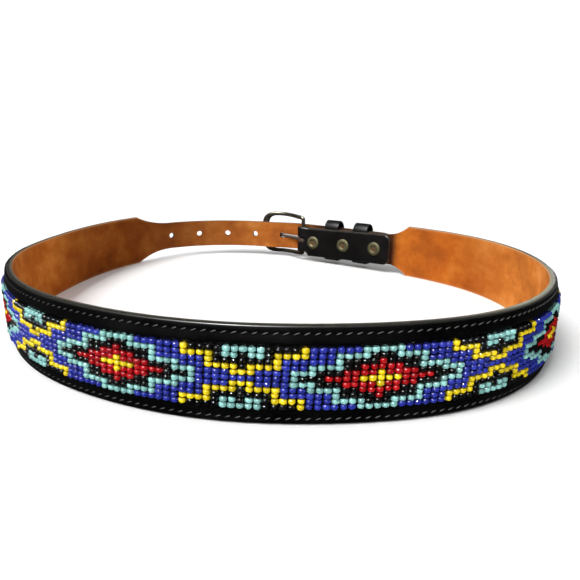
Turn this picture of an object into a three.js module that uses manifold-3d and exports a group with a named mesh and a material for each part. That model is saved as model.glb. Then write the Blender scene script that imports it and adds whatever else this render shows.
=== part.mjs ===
// A beaded leather belt, buckled into a loop and standing on its lower edge.
// Millimetres, +Z up, the beaded front towards -Y, the buckle at the back.

import * as THREE from 'three';
import { mergeVertices } from 'three/addons/utils/BufferGeometryUtils.js';
import Module from 'manifold-3d';

const wasm = await Module();
wasm.setup();

// The loop that the belt stands in: the lining's bare face, seen from above.
const loopRadius = 150;
const loopStations = [
  { bearing: 0, share: 1.15 }, { bearing: 22.5, share: 1.15 },
  { bearing: 45, share: 1.06 }, { bearing: 67.5, share: 1.07 },
  { bearing: 90, share: 1.24 }, { bearing: 112.5, share: 1.27 },
  { bearing: 135, share: 1.06 }, { bearing: 157.5, share: 0.88 },
  { bearing: 180, share: 0.82 }, { bearing: 202.5, share: 0.76 },
  { bearing: 225, share: 0.74 }, { bearing: 247.5, share: 0.74 },
  { bearing: 270, share: 0.79 }, { bearing: 292.5, share: 0.87 },
  { bearing: 315, share: 1.03 }, { bearing: 337.5, share: 1.11 },
];
const hingeAngle = 73.73; // bearing of the buckle's bar, in degrees

// Leather
const beltWidth = 38;
const liningThickness = 1.3;
const outerThickness = 1.3;
const glueLine = 0.3; // between any two plies that lie on each other
const edgeBevel = 0.6;

// Along the loop, clockwise seen from above, from the buckle's bar
const buckleEndWidth = 23.6;
const buckleEndDroop = 2.6; // the loose buckle end hangs this much lower at the bar
const buckleTaperStart = 78;
const buckleTaper = 17;
const foldEnd = 81.6; // tip of the layer folded back under the buckle end
const foldCorner = 5;
const foldGap = 2.4;
const foldGapStart = 6.5;
const neckWidth = 20.6;
const neckDrop = 0.4;
const neckStart = 3.2;
const neckEnd = 7;
const billetWidth = 22.2;
const billetTaper = 32;
const billetCorner = 9;
const billetGap = 1.5; // between the buckle end and the billet over it
const billetRiseStart = -34;
const billetRiseEnd = -8;
const stationStep = 9;

// Holes of the billet
const holeRadius = 2.3;
const holePitch = 25.1;
const holeInUse = -22.5;
const holesToBody = 4;
const holesToTip = 2;
const holeToBody = 33.4; // from the last hole to the wide body's corner
const holeToTip = 52.3;

// Overlay with its window, and the woven bead band in it
const overlayThickness = 1.3;
const overlayInset = 0.8;
const overlayEdgeThickness = 0.5;
const overlaySkive = 2.2;
const overlayEndGap = 8;
const overlayEndBorder = 6;
const windowHeight = 24.4;
const windowDrop = 0; // how far its middle lies below the belt's middle
const windowClearance = 0.35;
const bandThickness = 2.5;
const bandBevel = 0.7;

// Buckle
const barRadius = 1.6;
const barClearance = 0.3;
const frameLength = 41.4; // from the heel's bar to the middle of the far bar
const frameOpening = 27.4;
const frameRail = 3.2;
const farBarWidth = 6;
const farBarReach = 2.2; // the far bar's outer edge past the frame's length
const frameThickness = 3;
const frameArch = 1;
const frameDome = 5; // the rails bulge outward this far between the bars
const frameRise = 2.2; // its middle lies above the belt's middle
const frameCorner = 14;
const frameHeelCorner = 4;
const windowCorner = 9;
const windowHeelCorner = 1;
const farBarGap = 1.4;
const prongWidth = 4.2;
const prongTipWidth = 2.4;
const prongThickness = 2.2;
const prongTipThickness = 1.8;
const prongEye = 1.4; // wall of the prong's eye round the bar
const prongOverhang = 2.4;
const prongClearance = 0.3;
const prongSlant = 0.8; // its root lies this much below the hole in use, its tip above

// Keepers
const keeperWidth = 12.7;
const keeperThickness = 1.6;
const keeperPlay = 0.4;
const keeperFirst = 27;
const keeperPitch = 26.5;
const keeperCount = 2;
const keeperTop = 36;
const keeperFoot = 0.9;
const keeperTopRound = 4;
const keeperFootRound = 1.4;

// Snaps through the folded end
const snapFirst = 12;
const snapPitch = 28.5;
const snapCount = 3;
const snapGap = 0.3;
const capRadius = 5.5;
const capHeight = 1.1;
const capDimpleRadius = 2.2;
const capDimpleDepth = 0.6;
const capNeckRadius = 2.4;
const socketRadius = 4.4;
const socketBore = 2.3;
const socketFloor = 0.5;
const knobRadius = 1.9;
const postRadius = 1.5;
const postHeadRadius = 4.6;
const postHeadHeight = 0.8;

const strapThickness = liningThickness + glueLine + outerThickness;
const middleHeight = beltWidth / 2;
const bodyStart = buckleTaperStart + buckleTaper;

// Sides of the round pieces
const holeSides = 12;
const railSides = 8;
const shankSides = 8;
const eyeSides = 20;
const capSides = 20;
const postSides = 16;
const cutterReach = 1; // how far a cutter stands out of what it cuts

const colours = {
  lining: { color: '#c27a3f', roughness: 0.8, metalness: 0 },
  leather: { color: '#141312', roughness: 0.35, metalness: 0 },
  beads: { color: '#2f45a8', roughness: 0.25, metalness: 0 },
  steel: { color: '#8d8c86', roughness: 0.25, metalness: 1 },
  brass: { color: '#8c7a4c', roughness: 0.4, metalness: 1 },
};

// Uniform cubic B-spline through the stations' pull, run clockwise from the buckle's bar
class WaistCurve extends THREE.Curve {
  constructor() {
    super();
    this.arcLengthDivisions = 1600;
  }

  getPoint(t, target = new THREE.Vector3()) {
    const count = loopStations.length;
    const station = count * (hingeAngle / 360 - t);
    const first = Math.floor(station);
    const f = station - first;
    const weights = [
      (1 - f) ** 3 / 6,
      (3 * f ** 3 - 6 * f ** 2 + 4) / 6,
      (-3 * f ** 3 + 3 * f ** 2 + 3 * f + 1) / 6,
      f ** 3 / 6,
    ];
    target.set(0, 0, 0);
    weights.forEach((weight, k) => {
      const index = (((first - 1 + k) % count) + count) % count;
      const { bearing, share } = loopStations[index];
      const angle = THREE.MathUtils.degToRad(bearing);
      const reach = weight * share * loopRadius;
      target.x += reach * Math.cos(angle);
      target.y += reach * Math.sin(angle);
    });
    return target;
  }
}

const waist = new WaistCurve();
const waistLength = waist.getLength();

// The billet is drawn in to one hole, so the wide body takes up the rest of the loop
const bodyEnd = waistLength + holeInUse - holesToBody * holePitch - holeToBody;
const billetTip = waistLength + holeInUse + holesToTip * holePitch + holeToTip;
const keeperMiddles = Array.from({ length: keeperCount }, (_, k) => keeperFirst + k * keeperPitch);
const snapMiddles = Array.from({ length: snapCount }, (_, k) => snapFirst + k * snapPitch);

// The outward direction at a length along the loop
function outwardAt(along) {
  const share = (((along / waistLength) % 1) + 1) % 1;
  const t = waist.getUtoTmapping(share);
  const ahead = waist.getPoint(t + 1e-4);
  const run = ahead.sub(waist.getPoint(t - 1e-4)).normalize();
  return new THREE.Vector3(-run.y, run.x, 0);
}

// A point by its length along the loop, its distance out from the lining's face and its height
function place(along, out, height) {
  const share = (((along / waistLength) % 1) + 1) % 1;
  const point = waist.getPoint(waist.getUtoTmapping(share));
  return point.addScaledVector(outwardAt(along), out).setZ(height);
}

function spread(start, end, step) {
  const count = Math.max(1, Math.round(Math.abs(end - start) / step));
  return Array.from({ length: count + 1 }, (_, k) => start + ((end - start) * k) / count);
}

function smooth(value, start, end) {
  return THREE.MathUtils.smoothstep(value, start, end);
}

// How far a rounded corner pulls an outline in, at a distance from its end
function cornerInset(distance, radius) {
  if (distance >= radius) return 0;
  return radius - Math.sqrt(radius ** 2 - (radius - Math.max(0, distance)) ** 2);
}

// Lower and upper edge of the strap. The narrow ends spread to the wide body along a parabola.
function strapEdges(along) {
  let half = beltWidth / 2;
  let middle = middleHeight;
  if (along < bodyStart) {
    const share = Math.max(0, (along - buckleTaperStart) / buckleTaper) ** 2;
    const hang = buckleEndDroop * (1 - along / bodyStart);
    half = THREE.MathUtils.lerp(buckleEndWidth / 2, half, share);
    middle -= hang;
    const neck = 1 - THREE.MathUtils.clamp((along - neckStart) / (neckEnd - neckStart), 0, 1);
    half = THREE.MathUtils.lerp(half, neckWidth / 2, neck);
    middle = THREE.MathUtils.lerp(middle, middleHeight - neckDrop, neck);
  }
  if (along > bodyEnd) {
    const share = Math.max(0, 1 - (along - bodyEnd) / billetTaper) ** 2;
    half = THREE.MathUtils.lerp(billetWidth / 2, half, share);
    half -= cornerInset(billetTip - along, billetCorner);
  }
  return { low: middle - half, high: middle + half };
}

// Closed body through rings of corners, either capped at both ends or joined end to end
function skin(rings, joined = false) {
  const corners = rings[0].length;
  const index = [];
  const spans = joined ? rings.length : rings.length - 1;
  for (let i = 0; i < spans; i++) {
    const here = i * corners;
    const next = ((i + 1) % rings.length) * corners;
    for (let k = 0; k < corners; k++) {
      const m = (k + 1) % corners;
      index.push(here + k, next + k, next + m, here + k, next + m, here + m);
    }
  }
  if (!joined) {
    const last = (rings.length - 1) * corners;
    for (let k = 1; k < corners - 1; k++) {
      index.push(0, k, k + 1, last, last + k + 1, last + k);
    }
  }
  const geometry = new THREE.BufferGeometry();
  geometry.setFromPoints(rings.flat());
  geometry.setIndex(index);
  return facingOut(geometry);
}

function facingOut(geometry) {
  const spot = geometry.getAttribute('position');
  const index = geometry.getIndex().array;
  const corner = (k) => new THREE.Vector3().fromBufferAttribute(spot, index[k]);
  let volume = 0;
  for (let k = 0; k < index.length; k += 3) {
    volume += corner(k).dot(corner(k + 1).cross(corner(k + 2)));
  }
  if (volume < 0) geometry.setIndex(Array.from(index).reverse());
  return geometry;
}

function solidOf(geometry) {
  const bare = geometry.clone();
  bare.deleteAttribute('normal');
  bare.deleteAttribute('uv');
  const merged = mergeVertices(bare, 1e-5);
  return new wasm.Manifold(new wasm.Mesh({
    numProp: 3,
    vertProperties: new Float32Array(merged.getAttribute('position').array),
    triVerts: new Uint32Array(merged.getIndex().array),
  }));
}

function geometryOf(solid) {
  const mesh = solid.getMesh();
  const geometry = new THREE.BufferGeometry();
  geometry.setAttribute('position', new THREE.BufferAttribute(mesh.vertProperties, 3));
  geometry.setIndex(new THREE.BufferAttribute(mesh.triVerts, 1));
  return geometry;
}

function cut(geometry, tools) {
  const result = tools.reduce((solid, tool) => solid.subtract(solidOf(tool)), solidOf(geometry));
  return geometryOf(result);
}

function named(name, geometry, look) {
  const mesh = new THREE.Mesh(geometry, new THREE.MeshStandardMaterial(look));
  geometry.computeVertexNormals();
  mesh.name = name;
  return mesh;
}

// The strap's course, seen from above: the lining's bare face from the fold's tip, back round
// the buckle's bar, once round the waist and over the buckle end to the billet's tip
const barOut = -(barRadius + barClearance);

function foldOut(along) {
  return THREE.MathUtils.lerp(2 * barOut, -foldGap, smooth(along, 0, foldGapStart));
}

function billetOut(along) {
  const before = along - waistLength;
  return (strapThickness + billetGap) * smooth(before, billetRiseStart, billetRiseEnd);
}

function strapCourse() {
  const course = [];
  const tipSteps = [0, 0.05, 0.3, 1];
  for (const share of tipSteps) {
    const along = foldEnd - share * foldCorner;
    course.push({ along, out: foldOut(along), corner: cornerInset(foldEnd - along, foldCorner) });
  }
  const foldStops = [...spread(foldEnd - foldCorner, neckEnd, stationStep), neckStart];
  for (const along of foldStops.slice(1)) {
    course.push({ along, out: foldOut(along), corner: 0 });
  }
  for (let turn = 270; turn > 85; turn -= 30) {
    const angle = THREE.MathUtils.degToRad(turn);
    const reach = -barOut;
    course.push({ along: reach * Math.cos(angle), out: barOut + reach * Math.sin(angle), corner: 0 });
  }
  const taperStep = buckleTaper / 4;
  const runStops = [
    neckStart,
    ...spread(neckEnd, buckleTaperStart, stationStep),
    ...spread(buckleTaperStart, bodyStart, taperStep).slice(1),
    ...spread(bodyStart, bodyEnd, stationStep).slice(1),
    ...spread(bodyEnd, bodyEnd + billetTaper, billetTaper / 6).slice(1),
    ...spread(bodyEnd + billetTaper, waistLength + billetRiseStart, stationStep).slice(1),
    ...spread(waistLength + billetRiseStart, waistLength + billetRiseEnd, 4).slice(1),
    ...spread(waistLength + billetRiseEnd, billetTip - billetCorner, stationStep).slice(1),
    ...[0.3, 0.05, 0].map((share) => billetTip - share * billetCorner),
  ];
  for (const along of runStops) {
    course.push({ along, out: billetOut(along), corner: 0 });
  }
  return course;
}

// Each stop of the course gets the direction in which the black side lies
function withFacing(course) {
  return course.map((stop, k) => {
    const before = course[Math.max(0, k - 1)];
    const after = course[Math.min(course.length - 1, k + 1)];
    const run = new THREE.Vector2(after.along - before.along, after.out - before.out).normalize();
    return { ...stop, facing: new THREE.Vector2(-run.y, run.x) };
  });
}

const course = withFacing(strapCourse());

// One ply of the strap between two distances from the course. A bevel rounds its far edges.
function ply(from, to, bevel) {
  const rings = course.map(({ along, out, corner, facing }) => {
    const edges = strapEdges(Math.max(0, along));
    const low = edges.low + corner;
    const high = edges.high - corner;
    const at = (depth, height) => place(along + depth * facing.x, out + depth * facing.y, height);
    if (bevel === 0) return [at(from, low), at(to, low), at(to, high), at(from, high)];
    return [
      at(from, low), at(to - bevel, low), at(to, low + bevel),
      at(to, high - bevel), at(to - bevel, high), at(from, high),
    ];
  });
  return skin(rings);
}

// A round cutter standing on the loop, from one distance out to another
function roundCutter(along, radius, from, to, height) {
  const cutter = new THREE.CylinderGeometry(radius, radius, to - from, holeSides);
  const facing = new THREE.Quaternion().setFromUnitVectors(new THREE.Vector3(0, 1, 0), outwardAt(along));
  cutter.applyQuaternion(facing);
  const centre = place(along, (from + to) / 2, height);
  return cutter.translate(centre.x, centre.y, centre.z);
}

function billetHoles() {
  return Array.from({ length: holesToBody + holesToTip + 1 }, (_, k) => {
    const before = holeInUse + (k - holesToBody) * holePitch;
    const out = billetOut(waistLength + before);
    return roundCutter(before, holeRadius, out - cutterReach,
      out + strapThickness + cutterReach, middleHeight);
  });
}

function strapMiddle(along) {
  const { low, high } = strapEdges(along);
  return (low + high) / 2;
}

function snapHoles() {
  return snapMiddles.flatMap((along) => [
    roundCutter(along, postRadius + snapGap, -foldGap / 2, strapThickness + cutterReach,
      strapMiddle(along)),
    roundCutter(along, capNeckRadius + snapGap, -foldGap - strapThickness - cutterReach,
      -foldGap / 2, strapMiddle(along)),
  ]);
}

// The buckle's own directions: it lies straight from its bar, inside, to its far bar, outside
const heel = place(0, barOut, 0);
const farOut = strapThickness + farBarGap + frameThickness / 2;
const towardsFar = place(-frameLength, farOut, 0).sub(heel).normalize();
const awayFromWaist = new THREE.Vector3(towardsFar.y, -towardsFar.x, 0);

function onBuckle(length, out, height) {
  return heel.clone().addScaledVector(towardsFar, length).addScaledVector(awayFromWaist, out).setZ(height);
}

// Upper half of the frame's outline or of its window: up the heel, along the arched rail to
// the far bar and down that bar to its middle
function frameOutline({ heel: heelAt, far, half, heelCorner, corner }) {
  const line = new THREE.Path();
  const peak = half + frameArch;
  line.moveTo(heelAt, 0);
  line.lineTo(heelAt, half - heelCorner);
  line.quadraticCurveTo(heelAt, half, heelAt + heelCorner, half);
  line.quadraticCurveTo(frameLength / 2, peak, far - corner, peak);
  line.quadraticCurveTo(far, peak, far, peak - corner);
  line.lineTo(far, 0);
  const upper = line.getPoints(4);
  const lower = upper.slice(1, -1).reverse().map((point) => new THREE.Vector2(point.x, -point.y));
  return [...upper, ...lower];
}

const frameEnd = frameLength + farBarReach;
const windowEnd = frameEnd - farBarWidth;

function domeAt(length) {
  return frameDome * Math.sin(Math.PI * THREE.MathUtils.clamp(length / frameLength, 0, 1)) ** 2;
}

function buckleFrame() {
  const edge = frameOutline({
    heel: -barRadius, far: frameEnd, half: frameOpening / 2 + frameRail,
    heelCorner: frameHeelCorner, corner: frameCorner,
  });
  const opening = frameOutline({
    heel: barRadius, far: windowEnd, half: frameOpening / 2,
    heelCorner: windowHeelCorner, corner: windowCorner,
  });
  const middle = middleHeight + frameRise;
  const rings = edge.map((outer, k) => {
    const centre = outer.clone().add(opening[k]).divideScalar(2);
    const reach = outer.clone().sub(centre);
    const bar = 1 - smooth(centre.x, 0, 2 * frameHeelCorner);
    const halfThick = THREE.MathUtils.lerp(frameThickness / 2, barRadius, bar);
    return Array.from({ length: railSides }, (_, m) => {
      const angle = ((m + 0.5) / railSides) * 2 * Math.PI;
      const spot = centre.clone().addScaledVector(reach, Math.cos(angle));
      return onBuckle(spot.x, domeAt(spot.x) + halfThick * Math.sin(angle), middle + spot.y);
    });
  });
  return skin(rings, true);
}

// The prong: an eye round the bar and a tapered shank that rests over the far bar.
// Grown by a clearance, the shank also cuts its own way through the billet.
const eyeInner = barRadius + prongClearance;
const eyeOuter = eyeInner + prongEye;

function prongShank(grow) {
  const rootOut = eyeOuter - prongThickness / 2;
  const restOut = domeAt(windowEnd) + frameThickness / 2 + prongClearance + prongTipThickness / 2;
  const length = frameLength + prongOverhang;
  const stops = [
    { share: 0, size: 1 }, { share: 0.93, size: 1 },
    { share: 0.985, size: 0.75 }, { share: 1, size: 0.4 },
  ];
  const rings = stops.map(({ share, size }) => {
    const halfWidth = size * THREE.MathUtils.lerp(prongWidth, prongTipWidth, share) / 2 + grow;
    const halfThick = size * THREE.MathUtils.lerp(prongThickness, prongTipThickness, share) / 2 + grow;
    const out = THREE.MathUtils.lerp(rootOut, restOut, share);
    const round = 1 / Math.cos(Math.PI / shankSides);
    const height = middleHeight + prongSlant * (2 * share - 1);
    return Array.from({ length: shankSides }, (_, m) => {
      const angle = ((m + 0.5) / shankSides) * 2 * Math.PI;
      return onBuckle(
        share * length,
        out + halfThick * round * Math.sin(angle),
        height + halfWidth * round * Math.cos(angle),
      );
    });
  });
  return skin(rings);
}

function prongEyeRing() {
  const halfWidth = prongWidth / 2;
  const rings = Array.from({ length: eyeSides }, (_, k) => {
    const angle = (k / eyeSides) * 2 * Math.PI;
    const at = (radius, side) => onBuckle(
      radius * Math.cos(angle), radius * Math.sin(angle), middleHeight - prongSlant + side);
    return [
      at(eyeInner, -halfWidth), at(eyeInner, halfWidth),
      at(eyeOuter, halfWidth), at(eyeOuter, -halfWidth),
    ];
  });
  return skin(rings, true);
}

function prong() {
  const core = new THREE.CylinderGeometry(eyeInner, eyeInner, beltWidth, eyeSides);
  core.rotateX(Math.PI / 2).translate(heel.x, heel.y, middleHeight);
  const shank = solidOf(prongShank(0)).subtract(solidOf(core));
  return geometryOf(shank.add(solidOf(prongEyeRing())));
}

// The slot in the folded strap that lets the prong's eye reach the bar
function prongSlot() {
  const reach = eyeOuter + prongClearance;
  const slot = new THREE.BoxGeometry(1, 1, prongWidth + 2 * prongClearance);
  const left = -barOut + strapThickness + cutterReach;
  slot.scale(left + reach, 2 * (left + cutterReach), 1);
  slot.translate((reach - left) / 2, barOut, middleHeight - prongSlant);
  const spot = slot.getAttribute('position');
  for (let k = 0; k < spot.count; k++) {
    const corner = place(spot.getX(k), spot.getY(k), spot.getZ(k));
    spot.setXYZ(k, corner.x, corner.y, corner.z);
  }
  return slot;
}

function strapPly(from, to, bevel) {
  return cut(ply(from, to, bevel), [
    ...billetHoles(), ...snapHoles(), prongSlot(), prongShank(prongClearance),
  ]);
}

// Overlay: one piece of leather with a long window, skived thin along its outer edges
const overlayStart = bodyStart + overlayEndGap;
const overlayEnd = bodyEnd - overlayEndGap;
const windowMiddle = middleHeight - windowDrop;
const overlayBase = strapThickness + glueLine;

function bodyStops(start, end) {
  const isInside = (along) => along > start + edgeBevel && along < end - edgeBevel;
  return [start, ...spread(bodyStart, bodyEnd, stationStep).filter(isInside), end];
}

function beadFrame() {
  const low = overlayInset;
  const high = beltWidth - overlayInset;
  const windowLow = windowMiddle - windowHeight / 2;
  const windowHigh = windowMiddle + windowHeight / 2;
  const top = overlayBase + overlayThickness;
  const edge = overlayBase + overlayEdgeThickness;
  const blank = skin(bodyStops(overlayStart, overlayEnd).map((along) => [
    place(along, overlayBase, low),
    place(along, edge, low),
    place(along, top, low + overlaySkive),
    place(along, top, high - overlaySkive),
    place(along, edge, high),
    place(along, overlayBase, high),
  ]));
  const openingStops = bodyStops(overlayStart + overlayEndBorder, overlayEnd - overlayEndBorder);
  const opening = skin(openingStops.map((along) => [
    place(along, overlayBase - cutterReach, windowLow),
    place(along, top + cutterReach, windowLow),
    place(along, top + cutterReach, windowHigh),
    place(along, overlayBase - cutterReach, windowHigh),
  ]));
  return cut(blank, [opening]);
}

function beadBand() {
  const start = overlayStart + overlayEndBorder + windowClearance;
  const end = overlayEnd - overlayEndBorder - windowClearance;
  const low = windowMiddle - windowHeight / 2 + windowClearance;
  const high = windowMiddle + windowHeight / 2 - windowClearance;
  const top = overlayBase + bandThickness;
  return skin(bodyStops(start, end).map((along) => [
    place(along, overlayBase, low),
    place(along, top - bandBevel, low),
    place(along, top, low + bandBevel),
    place(along, top, high - bandBevel),
    place(along, top - bandBevel, high),
    place(along, overlayBase, high),
  ]));
}

// Keepers: loose leather loops round the buckle end and the billet. Their inner run lies
// between the buckle end and the fold, so the snaps hold them.
function keeperOutline(along) {
  const line = new THREE.Path();
  const half = keeperThickness / 2;
  const inner = -(keeperPlay + half);
  const outer = 2 * strapThickness + billetGap + keeperPlay + half;
  const foot = strapEdges(along).low - keeperFoot - half;
  const top = keeperTop - half;
  const topRound = keeperTopRound + half;
  const footRound = keeperFootRound + half;
  line.moveTo(inner, foot + footRound);
  line.lineTo(inner, top - topRound);
  line.quadraticCurveTo(inner + 0.2 * topRound, top - 0.2 * topRound, inner + topRound, top);
  line.lineTo(outer - topRound, top);
  line.quadraticCurveTo(outer - 0.2 * topRound, top - 0.2 * topRound, outer, top - topRound);
  line.lineTo(outer, foot + footRound);
  line.quadraticCurveTo(outer, foot, outer - footRound, foot);
  line.lineTo(inner + footRound, foot);
  line.quadraticCurveTo(inner, foot, inner, foot + footRound);
  return line.getPoints(4).slice(0, -1);
}

function keeper(along) {
  const line = keeperOutline(along);
  const stops = [-keeperWidth / 2, 0, keeperWidth / 2];
  const rings = line.map((point, k) => {
    const before = line[(k + line.length - 1) % line.length];
    const after = line[(k + 1) % line.length];
    const run = after.clone().sub(before).normalize();
    const at = (stop, side) => place(
      along + stop,
      point.x - (run.y * side * keeperThickness) / 2,
      point.y + (run.x * side * keeperThickness) / 2,
    );
    return [...stops.map((stop) => at(stop, 1)), ...stops.toReversed().map((stop) => at(stop, -1))];
  });
  return skin(rings, true);
}

// Snap profiles, as radius and distance out from the lining's face
function snapCapProfile() {
  const face = -(foldGap + strapThickness) - snapGap;
  const socketLow = -foldGap + snapGap;
  const socketHigh = -snapGap;
  return [
    [0, socketLow + socketFloor], [socketBore, socketLow + socketFloor], [socketBore, socketHigh],
    [socketRadius, socketHigh], [socketRadius, socketLow], [capNeckRadius, socketLow],
    [capNeckRadius, face], [capRadius, face], [capRadius, face - capHeight / 2],
    [(capRadius + capDimpleRadius) / 2, face - capHeight],
    [capDimpleRadius, face - capHeight + capDimpleDepth / 3],
    [0, face - capHeight + capDimpleDepth],
  ];
}

function snapPostProfile() {
  const knobEnd = -foldGap + 2 * snapGap + socketFloor;
  const seat = strapThickness + snapGap;
  return [
    [0, knobEnd], [knobRadius, knobEnd], [knobRadius, -snapGap], [postRadius, -snapGap],
    [postRadius, seat], [postHeadRadius, seat], [postHeadRadius, seat + postHeadHeight / 2],
    [0, seat + postHeadHeight],
  ];
}

function snapPiece(name, profile, along, sides) {
  const points = profile.map(([radius, out]) => new THREE.Vector2(radius, out));
  const lathe = mergeVertices(bareLathe(points, sides), 1e-5);
  const mesh = named(name, facingOut(lathe), colours.brass);
  mesh.quaternion.setFromUnitVectors(new THREE.Vector3(0, 1, 0), outwardAt(along));
  mesh.position.copy(place(along, 0, strapMiddle(along)));
  return mesh;
}

function bareLathe(points, sides) {
  const lathe = new THREE.LatheGeometry(points, sides);
  lathe.deleteAttribute('normal');
  lathe.deleteAttribute('uv');
  return lathe;
}

const belt = new THREE.Group();
belt.add(
  named('lining', strapPly(0, liningThickness, 0), colours.lining),
  named('outer_strap', strapPly(liningThickness + glueLine, strapThickness, edgeBevel), colours.leather),
  named('bead_frame', beadFrame(), colours.leather),
  named('bead_band', beadBand(), colours.beads),
  named('buckle_frame', buckleFrame(), colours.steel),
  named('prong', prong(), colours.steel),
);
keeperMiddles.forEach((along, k) => {
  belt.add(named(`keeper_${k + 1}`, keeper(along), colours.leather));
});
snapMiddles.forEach((along, k) => {
  belt.add(snapPiece(`snap_cap_${k + 1}`, snapCapProfile(), along, capSides));
  belt.add(snapPiece(`snap_post_${k + 1}`, snapPostProfile(), along, postSides));
});

// The origin is at the middle of the belt's box, on the surface that it stands on
const box = new THREE.Box3().setFromObject(belt);
belt.position.set(-(box.min.x + box.max.x) / 2, -(box.min.y + box.max.y) / 2, -box.min.z);

const part = new THREE.Group();
part.add(belt);

export default part;
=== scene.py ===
import bpy
import math
from bisect import bisect_right
from mathutils import Matrix, Vector


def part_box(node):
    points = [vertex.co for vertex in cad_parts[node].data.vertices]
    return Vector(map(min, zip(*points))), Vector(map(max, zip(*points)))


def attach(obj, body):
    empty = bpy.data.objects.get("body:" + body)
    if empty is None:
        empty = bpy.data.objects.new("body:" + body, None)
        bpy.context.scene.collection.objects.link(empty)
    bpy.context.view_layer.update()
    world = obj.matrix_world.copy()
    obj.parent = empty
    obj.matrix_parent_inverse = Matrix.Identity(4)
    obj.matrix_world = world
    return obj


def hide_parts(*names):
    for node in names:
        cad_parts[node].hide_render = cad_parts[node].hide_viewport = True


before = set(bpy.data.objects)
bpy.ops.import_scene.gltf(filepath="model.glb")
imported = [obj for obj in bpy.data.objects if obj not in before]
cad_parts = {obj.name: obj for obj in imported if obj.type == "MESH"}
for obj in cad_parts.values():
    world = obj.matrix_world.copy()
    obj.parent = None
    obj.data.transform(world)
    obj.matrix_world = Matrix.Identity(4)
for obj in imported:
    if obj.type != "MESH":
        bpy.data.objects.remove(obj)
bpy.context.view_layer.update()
scene = bpy.context.scene
scene.view_settings.view_transform = "Standard"
mm = 0.001

# The loop the belt stands in, seen from above: a closed B-spline, run clockwise from the buckle's bar.
# Lengths in this file are millimetres until they are placed.
loop = {
    "radius": 150,
    "hingeAngle": 73.73,
    "shares": [1.15, 1.15, 1.06, 1.07, 1.24, 1.27, 1.06, 0.88,
               0.82, 0.76, 0.74, 0.74, 0.79, 0.87, 1.03, 1.11],
}
strap = {
    "width": 38, "lining": 1.3, "glue": 0.3, "outer": 1.3, "seam": 0.06,
    "buckleEnd": 23.6, "droop": 2.6, "taperStart": 78, "taper": 17,
    "foldEnd": 81.6, "foldCorner": 5, "foldGap": 2.4, "foldGapStart": 6.5,
    "neck": 20.6, "neckDrop": 0.4, "neckStart": 3.2, "neckEnd": 7,
    "billet": 22.2, "billetTaper": 32, "billetCorner": 9, "billetGap": 1.5,
    "riseStart": -34, "riseEnd": -8, "step": 2.0,
}
holes = {
    "radius": 2.3, "pitch": 25.1, "inUse": -22.5, "toBody": 4, "toTip": 2, "bodyGap": 33.4, "tipGap": 52.3,
}
buckle = {
    "bar": 1.6, "clearance": 0.3, "length": 41.4, "opening": 27.4, "rail": 3.2, "thick": 3,
    "farBar": 6, "farReach": 2.2, "farGap": 1.4, "arch": 1, "dome": 5, "rise": 2.2,
    "corner": 14, "heelCorner": 4, "windowCorner": 9, "windowHeelCorner": 1,
}


def splinePoint(turn):
    count = len(loop["shares"])
    station = count * (loop["hingeAngle"] / 360 - turn)
    first = math.floor(station)
    f = station - first
    weights = [(1 - f) ** 3 / 6, (3 * f ** 3 - 6 * f ** 2 + 4) / 6,
               (-3 * f ** 3 + 3 * f ** 2 + 3 * f + 1) / 6, f ** 3 / 6]
    point = Vector((0, 0))
    for k, weight in enumerate(weights):
        index = (first - 1 + k) % count
        reach = weight * loop["shares"][index] * loop["radius"]
        angle = 2 * math.pi * index / count
        point += Vector((reach * math.cos(angle), reach * math.sin(angle)))
    return point


def runLengths(points):
    run = [0]
    for a, b in zip(points, points[1:]):
        run.append(run[-1] + (b - a).length)
    return run


turnSteps = 3200
turns = [k / turnSteps for k in range(turnSteps + 1)]
splinePoints = [splinePoint(turn) for turn in turns]
lengths = runLengths(splinePoints)
waist = lengths[-1]


def turnAt(along):
    wrapped = along % waist
    k = min(bisect_right(lengths, wrapped) - 1, len(lengths) - 2)
    part = (wrapped - lengths[k]) / (lengths[k + 1] - lengths[k])
    return (k + part) / (len(turns) - 1)


def outwardAt(along):
    turn, near = turnAt(along), 2e-4
    run = (splinePoint(turn + near) - splinePoint(turn - near)).normalized()
    return Vector((-run.y, run.x))


def flatPlace(along, out):
    return splinePoint(turnAt(along)) + out * outwardAt(along)


# The frame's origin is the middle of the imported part, so the loop is moved to where the lining lies:
# sideways to the middle of its box, and in depth to its front
edgeSteps = 900
liningEdge = [flatPlace(k * waist / edgeSteps, strap["lining"]) for k in range(edgeSteps)]
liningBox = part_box("lining")
edgeLeft, edgeRight = min(p.x for p in liningEdge), max(p.x for p in liningEdge)
shift = Vector((
    (liningBox[0][0] + liningBox[1][0]) / 2 / mm - (edgeLeft + edgeRight) / 2,
    liningBox[0][1] / mm - min(p.y for p in liningEdge),
))
print("loop", round(waist, 1), "mm, moved by", [round(v, 2) for v in shift])


def place(along, out, height):
    flat = flatPlace(along, out) + shift
    return Vector((flat.x * mm, flat.y * mm, height * mm))


middleHeight = strap["width"] / 2
thickness = strap["lining"] + strap["glue"] + strap["outer"]
bodyStart = strap["taperStart"] + strap["taper"]
bodyEnd = waist + holes["inUse"] - holes["toBody"] * holes["pitch"] - holes["bodyGap"]
billetTip = waist + holes["inUse"] + holes["toTip"] * holes["pitch"] + holes["tipGap"]
barOut = -(buckle["bar"] + buckle["clearance"])


def blend(a, b, share):
    return a + (b - a) * share


def smoothStep(value, start, end):
    share = min(1, max(0, (value - start) / (end - start)))
    return share * share * (3 - 2 * share)


def spread(start, end, step):
    count = max(1, round(abs(end - start) / step))
    return [start + (end - start) * k / count for k in range(count + 1)]


def cornerInset(distance, radius):
    if distance >= radius:
        return 0
    return radius - math.sqrt(max(0, radius ** 2 - (radius - max(0, distance)) ** 2))


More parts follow.
